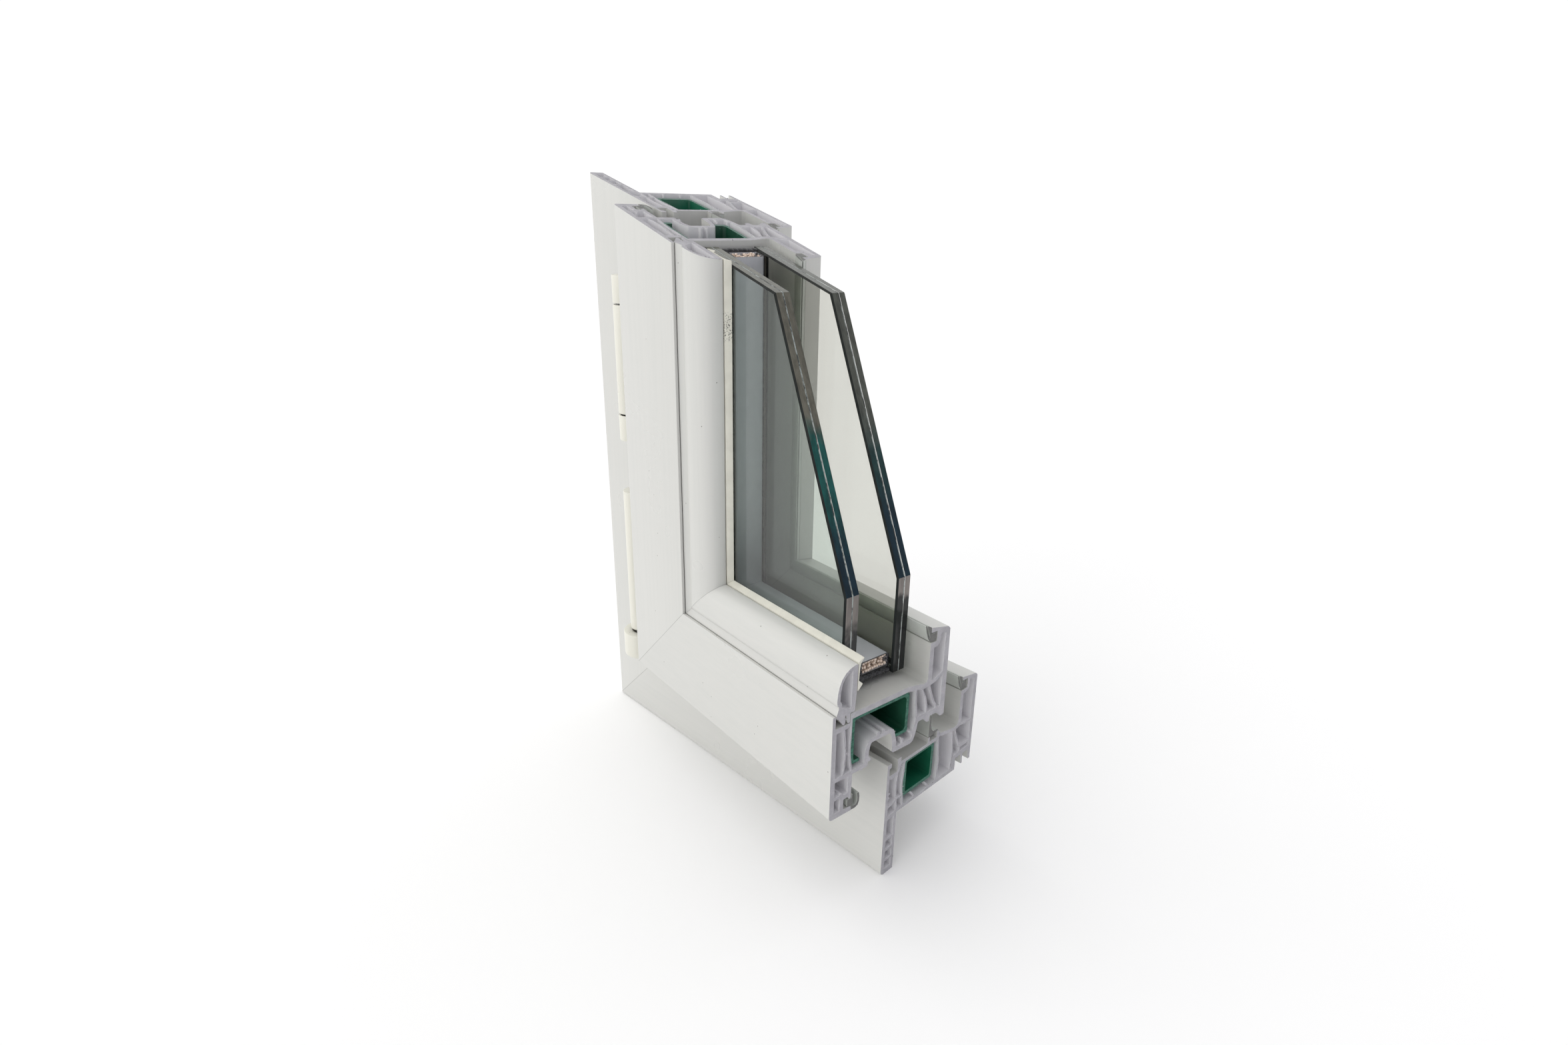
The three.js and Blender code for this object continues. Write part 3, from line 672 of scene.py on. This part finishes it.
# Node, corner radius, outside, inside, ends, and how far it stands off the mitre plane
SWEPT = (
    ("frame_{}_profile", PROFILE_CORNER, FACES, INSIDE_PAINTED_LIGHT, SAWN, WELD),
    ("sash_{}_profile", PROFILE_CORNER, FACES, INSIDE_PAINTED_LIGHT, SAWN, WELD),
    ("frame_{}_centre_seal", 0.3 * MM, SEAL, SEAL, SEAL_CUT, BUTT),
    ("frame_{}_outdoor_seal", 0.3 * MM, SEAL, SEAL, SEAL_CUT, BUTT),
    ("sash_{}_overlap_seal", 0.4 * MM, SEAL, SEAL, SEAL_CUT, BUTT),
    ("sash_{}_glass_seal", 0.3 * MM, SEAL, SEAL, SEAL_CUT, BUTT),
    ("bead_{}", 0.6 * MM, FACES, INSIDE_PAINTED_LIGHT, SAWN, BUTT),
    ("bead_{}_seal", 0.4 * MM, SOILED, SOILED, CREAM, BUTT),
    ("spacer_bar_{}", 0.3 * MM, SPACER, SPACER, SPACER_CUT, BUTT),
    ("edge_sealant_{}", 0.3 * MM, BLACK, BLACK, BLACK, BUTT),
    ("butyl_room_{}", 0.15 * MM, BLACK, BLACK, BLACK, BUTT),
    ("butyl_outdoor_{}", 0.15 * MM, BLACK, BLACK, BLACK, BUTT),
)

for leg in LEGS:
    for pattern, radius, outside, inside, end, gap in SWEPT:
        if outside is FACES:
            outside = FACES[leg]
        swept(pattern.format(leg), radius, outside, inside, end, gap)
    for body in ("frame", "sash"):
        reinforcement(f"{body}_{leg}_steel", body)

weld("frame_weld", "frame_rail_profile")
weld("sash_weld", "sash_rail_profile")

# ---------------------------------------------------------------- panes


def inset(ring, distance, normal):
    """The flat ring moved inwards by a distance."""
    moved = []
    for i, point in enumerate(ring):
        before = normal.cross((point - ring[i - 1]).normalized())
        after = normal.cross((ring[(i + 1) % len(ring)] - point).normalized())
        inward = (before + after).normalized()
        moved.append(point + inward * (distance / inward.dot(before)))
    return moved


def moved_back(ring, broad, distance):
    """The flat ring moved into the plate, away from its broad side."""
    return [p - broad * distance for p in ring]


def plate(node_name, broad):
    """The outline of a flat node's face on its broad side, and the node's thickness."""
    mesh = merged(nodes[node_name])
    corners = dict.fromkeys(v for f in mesh.faces if f.normal.dot(broad) > 0.9 for v in f.verts)
    behind = next(f for f in mesh.faces if f.normal.dot(broad) < -0.9).verts[0].co.copy()
    centre = sum((v.co for v in corners), Vector()) / len(corners)
    across = Vector((0, 0, 1)).cross(broad)

    def bearing(point):
        return math.atan2((point - centre).z, (point - centre).dot(across))

    ring = sorted((v.co.copy() for v in corners), key=bearing)
    mesh.free()
    return ring, (centre - behind).dot(broad)


def walled(levels, wall_slots, closed=False):
    """A bmesh of walls between rings of equal length. It closes on itself, or has a cap on the first ring."""
    mesh = bmesh.new()
    rows = [[mesh.verts.new(p) for p in level] for level in levels]
    if closed:
        rows.append(rows[0])
    else:
        mesh.faces.new(rows[0]).material_index = 0
    for upper, lower, slots in zip(rows, rows[1:], wall_slots):
        for i, slot in enumerate(slots):
            j = (i + 1) % len(slots)
            mesh.faces.new((upper[i], upper[j], lower[j], lower[i])).material_index = slot
    bmesh.ops.recalc_face_normals(mesh, faces=mesh.faces)
    return mesh


def rim_slot(rise):
    """The slot of a rim face, from how steeply it looks up: foot, slant or crown."""
    return 2 if rise < 0.1 else 3 if rise < 0.6 else 4


def pane_sheet(node_name, outward, glass, rims):
    """Stands for a glass sheet: its outer arris is ground off, and its rim is painted with reflection and
    shade by which side of the outline it is.

    The clear face against the film is left open, so that light has fewer clear faces to pass.
    """
    broad = turned(Vector((0, outward, 0)), "sash")
    ring, thickness = plate(node_name, broad)
    slots = [rim_slot((b - a).cross(broad).normalized().z) for a, b in sides(ring)]
    shoulder = moved_back(ring, broad, ARRIS)
    levels = [inset(ring, ARRIS, broad), shoulder, moved_back(ring, broad, thickness)]
    mesh = walled(levels, ([1] * len(ring), slots))
    shown(f"{node_name}_look", mesh, "sash", (glass, ARRIS_DARK, *rims), [node_name])


def film_rim(node_name):
    """Stands for a laminate's film, as the closed band of it that shows round the rim."""
    broad = turned(Vector((0, 1, 0)), "sash")
    ring, thickness = plate(node_name, broad)
    inner = inset(ring, FILM_SHOWN, broad)
    levels = [ring, inner, moved_back(inner, broad, thickness), moved_back(ring, broad, thickness)]
    mesh = walled(levels, [[0] * len(ring)] * 4, closed=True)
    shown(f"{node_name}_look", mesh, "sash", (FILM,), [node_name])


for pane, glass in (("inner_pane", INNER_GLASS), ("outer_pane", OUTER_GLASS)):
    low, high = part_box(f"{pane}_room_sheet")
    rims = pane_rims(pane, low.z, high.z)
    pane_sheet(f"{pane}_room_sheet", -1, glass, rims)
    pane_sheet(f"{pane}_outdoor_sheet", 1, glass, rims)
    film_rim(f"{pane}_interlayer")

# ---------------------------------------------------------------- what fills and seals the spacer bar


def frame_of(ring, leg):
    """The middle of a ring across a sash leg, and its half-sizes through and across the leg, as vectors."""
    other = turned(LEGS["jamb" if leg == "rail" else "rail"], "sash")
    across = turned(LEGS[leg], "sash").cross(other)
    centre = sum(ring, Vector()) / len(ring)
    wide = max(abs((p - centre).dot(across)) for p in ring)
    tall = max(abs((p - centre).dot(other)) for p in ring)
    return centre, across * wide, other * tall


def add_ball(mesh, centre, axes, subdivisions):
    """Adds a ball to a bmesh, with its three half-axes given as vectors."""
    shape = Matrix.Translation(centre) @ Matrix(axes).transposed().to_4x4()
    bmesh.ops.create_icosphere(mesh, subdivisions=subdivisions, radius=1, matrix=shape)


def smoothed(mesh):
    """Shades all faces of a bmesh smooth."""
    for face in mesh.faces:
        face.smooth = True


def loose_beads(leg):
    """A bmesh of jittered layers of beads, just inside the spacer bar's open end."""
    rng = random.Random(leg)
    along, rings, near, far = section(f"spacer_bar_{leg}")
    centre, across, up = frame_of(rings[1], leg)
    columns = int(2 * (across.length - BEAD_RADIUS) / BEAD_STEP)
    rows = int(2 * (up.length - BEAD_RADIUS) / BEAD_STEP)
    spots = [(d, i, j) for d in range(BEAD_LAYERS) for i in range(columns + 1) for j in range(rows + 1)]
    mesh = bmesh.new()
    for layer, i, j in spots:
        if layer == 0 and rng.random() < BEADS_LOST:
            continue
        size = BEAD_RADIUS * rng.uniform(0.82, 1.08)
        jitter = [rng.uniform(-BEAD_JITTER, BEAD_JITTER) * BEAD_RADIUS for _ in range(3)]
        shift = 0.5 * (j % 2)
        x = ((i + shift) / (columns + 0.5) * 2 - 1) * (across.length - size)
        y = (j / max(rows, 1) * 2 - 1) * (up.length - size)
        place = centre + across.normalized() * (x + jitter[0]) + up.normalized() * (y + jitter[1])
        depth = BEAD_SUNK + layer * BEAD_STEP * BEAD_LAYER_SHARE - jitter[2]
        place = meet(place, along, near) - along * depth
        add_ball(mesh, place, ((size, 0, 0), (0, size, 0), (0, 0, size)), 2)
    smoothed(mesh)
    return mesh


def desiccant_beads(leg):
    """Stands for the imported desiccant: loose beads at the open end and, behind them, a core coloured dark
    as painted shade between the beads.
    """
    mesh = loose_beads(leg)
    packed = f"desiccant_{leg}"
    along, rings, near, far = section(packed)
    core = sweep(rings, along, (near[0] - along * CORE_DEPTH * BEAD_RADIUS, near[1]), far)
    block = bpy.data.meshes.new("desiccant_block")
    core.to_mesh(block)
    core.free()
    mesh.from_mesh(block)
    bpy.data.meshes.remove(block)
    shown(f"desiccant_beads_{leg}", mesh, "sash", (BEADS, GAPS_PAINTED_SHADE, GAPS_PAINTED_SHADE, GAPS_PAINTED_SHADE), [packed])


def sealant_lumps(leg):
    """Sealant that bulges out of the glass unit's cut end, below and beside the spacer bar."""
    rng = random.Random(leg + "seal")
    along, rings, near, far = section(f"edge_sealant_{leg}")
    centre, across, up = frame_of(rings[0], leg)
    bar = frame_of(section(f"spacer_bar_{leg}")[1][0], leg)[0]
    rise = (bar - centre).dot(up.normalized()) / up.length
    spots = [(i / 3 - 1, rng.uniform(-0.2, 0.1), 1.5) for i in range(7)]
    spots += [(side, rise * i / 3, 0.55) for side in (-1.0, 1.0) for i in range(1, 5)]
    mesh = bmesh.new()
    for x, y, size in spots:
        place = meet(centre + across * x * 0.88 + up * y, along, near) - along * 0.4 * MM
        wide, tall, deep = (size * rng.uniform(0.85, 1.15) * MM for _ in range(3))
        axes = (across.normalized() * wide * 2.0, up.normalized() * tall * 1.1, along * deep)
        add_ball(mesh, place, axes, 3)
    smoothed(mesh)
    shown(f"sealant_lumps_{leg}", mesh, "sash", (BLACK,))


for leg in LEGS:
    desiccant_beads(leg)
    sealant_lumps(leg)

# ---------------------------------------------------------------- torn bits left by the saw


def swarf(name, node_name, count, seed):
    """Small flakes of plastic that still hang on a profile's sawn edges."""
    rng = random.Random(seed)
    along, rings, near, far = section(node_name)
    edges = [(a, b) for ring in rings for a, b in sides(ring) if (a - b).length > FLAKE_EDGE]
    mesh = bmesh.new()
    for _ in range(count):
        a, b = rng.choice(edges)
        spot = a.lerp(b, rng.random())
        run = (b - a).normalized()
        out = along.cross(run)
        length = rng.uniform(0.4, 1.3) * MM
        width = rng.uniform(0.2, 0.7) * MM
        lean = out * rng.uniform(-0.9, 0.9) + along * rng.uniform(0.0, 0.7) + run * rng.uniform(-0.5, 0.5)
        root = [spot - run * width, spot + run * width, spot + along * FLAKE_ROOT]
        corners = [mesh.verts.new(p) for p in (*root, spot + lean * length)]
        for trio in ((0, 1, 2), (0, 1, 3), (1, 2, 3), (2, 0, 3)):
            mesh.faces.new([corners[k] for k in trio])
    bmesh.ops.recalc_face_normals(mesh, faces=mesh.faces)
    shown(name, mesh, nodes[node_name]["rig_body"], (SAWN,))


for seed, leg in enumerate(LEGS):
    swarf(f"frame_{leg}_swarf", f"frame_{leg}_profile", PROFILE_FLAKES, 10 + seed)
    swarf(f"sash_{leg}_swarf", f"sash_{leg}_profile", PROFILE_FLAKES, 20 + seed)
    swarf(f"bead_{leg}_swarf", f"bead_{leg}", BEAD_FLAKES, 30 + seed)

# ---------------------------------------------------------------- hinges and hidden pieces


def rounded_cover(node_name):
    """Stands for a hinge's plastic cover or cup: the same shape with its edges rounded."""
    mesh = merged(nodes[node_name])
    bmesh.ops.dissolve_limit(mesh, angle_limit=math.radians(1), verts=mesh.verts, edges=mesh.edges)
    edges = [e for e in mesh.edges if e.is_manifold and e.calc_face_angle() > math.radians(35)]
    how = {"segments": 3, "profile": 0.5, "affect": "EDGES", "clamp_overlap": True}
    bmesh.ops.bevel(mesh, geom=edges, offset=COVER_EDGE, **how)
    smoothed(mesh)
    body = nodes[node_name]["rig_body"]
    piece = shown(f"{node_name}_look", mesh, body, (IVORY,), [node_name])
    sharpened(piece, 35)


def recoloured(node, material):
    """Shows the CAD node itself, in a material."""
    node.data.materials.clear()
    node.data.materials.append(material)


for name, node in nodes.items():
    if "cover" in name or name.endswith("cup"):
        rounded_cover(name)
    elif "hinge" in name:
        recoloured(node, ZINC)
    elif "packer" in name:
        recoloured(node, PACKER)

# ---------------------------------------------------------------- floor, light and camera


def stage():
    """A plain pale floor at the foot of the sample."""
    finish = Nodes("floor", Roughness=0.95)
    finish.wear(Base_Color=finish.mix(finish.noise(3, 2), grey(0.94), grey(0.96)))
    foot = (0, 0, cad_low.z)
    bpy.ops.mesh.primitive_circle_add(vertices=96, radius=FLOOR_RADIUS, fill_type="NGON", location=foot)
    floor = bpy.context.object
    floor.name = "floor"
    floor.data.materials.append(finish.material)
    floor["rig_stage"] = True


def sky():
    """Even white light, cooler and dimmer from the sawn side."""
    world = bpy.data.worlds.new("studio")
    world.use_nodes = True
    tree = world.node_tree
    background = tree.nodes["Background"]
    place = tree.nodes.new("ShaderNodeTexCoord")
    split = tree.nodes.new("ShaderNodeSeparateXYZ")
    fade = tree.nodes.new("ShaderNodeMapRange")
    colour = tree.nodes.new("ShaderNodeMix")
    colour.data_type = "RGBA"
    colour.inputs[MIX_FIRST].default_value = (1.0, 1.0, 1.0, 1)
    colour.inputs[MIX_SECOND].default_value = (0.42, 0.42, 0.46, 1)
    fade.inputs["From Min"].default_value = 0.05
    fade.inputs["From Max"].default_value = 0.85
    tree.links.new(place.outputs["Generated"], split.inputs[0])
    tree.links.new(split.outputs["X"], fade.inputs["Value"])
    tree.links.new(fade.outputs[0], colour.inputs[MIX_FACTOR])
    tree.links.new(colour.outputs[MIX_RESULT], background.inputs["Color"])
    background.inputs["Strength"].default_value = 1.03
    bpy.context.scene.world = world


def soft_sun(name, power, towards, colour, width):
    """Soft light of the same strength everywhere, from a patch of sky that is width degrees across."""
    lamp = bpy.data.lights.new(name, "SUN")
    lamp.energy = power
    lamp.angle = math.radians(width)
    lamp.color = colour
    item = bpy.data.objects.new(name, lamp)
    item.rotation_euler = Vector(towards).to_track_quat("-Z", "Y").to_euler()
    bpy.context.scene.collection.objects.link(item)


def camera():
    """Looks at the corner from the room, from above and from the side of the sawn ends."""
    a, e, r = (math.radians(v) for v in (CAMERA_AZIMUTH, CAMERA_ELEVATION, CAMERA_ROLL))
    back = Vector((math.sin(a) * math.cos(e), -math.cos(a) * math.cos(e), math.sin(e)))
    right = Vector((0, 0, 1)).cross(back).normalized()
    up = back.cross(right)
    tilted_right = right * math.cos(r) + up * math.sin(r)
    tilted_up = up * math.cos(r) - right * math.sin(r)
    data = bpy.data.cameras.new("camera")
    data.sensor_width = SENSOR
    data.lens = CAMERA_LENS
    data.clip_start = 0.01
    item = bpy.data.objects.new("camera", data)
    turn = Matrix((tilted_right, tilted_up, back)).transposed().to_4x4()
    item.matrix_world = Matrix.Translation(CAMERA_AT) @ turn
    bpy.context.scene.collection.objects.link(item)
    bpy.context.scene.camera = item


stage()
sky()
soft_sun("window_light", 0.85, (0.40, 0.60, -0.62), (1, 0.98, 0.94), 100)
soft_sun("front_fill", 0.38, (0.05, 0.97, -0.15), (1, 0.99, 0.97), 40)
camera()
bpy.context.scene.view_settings.view_transform = "Standard"

low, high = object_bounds()
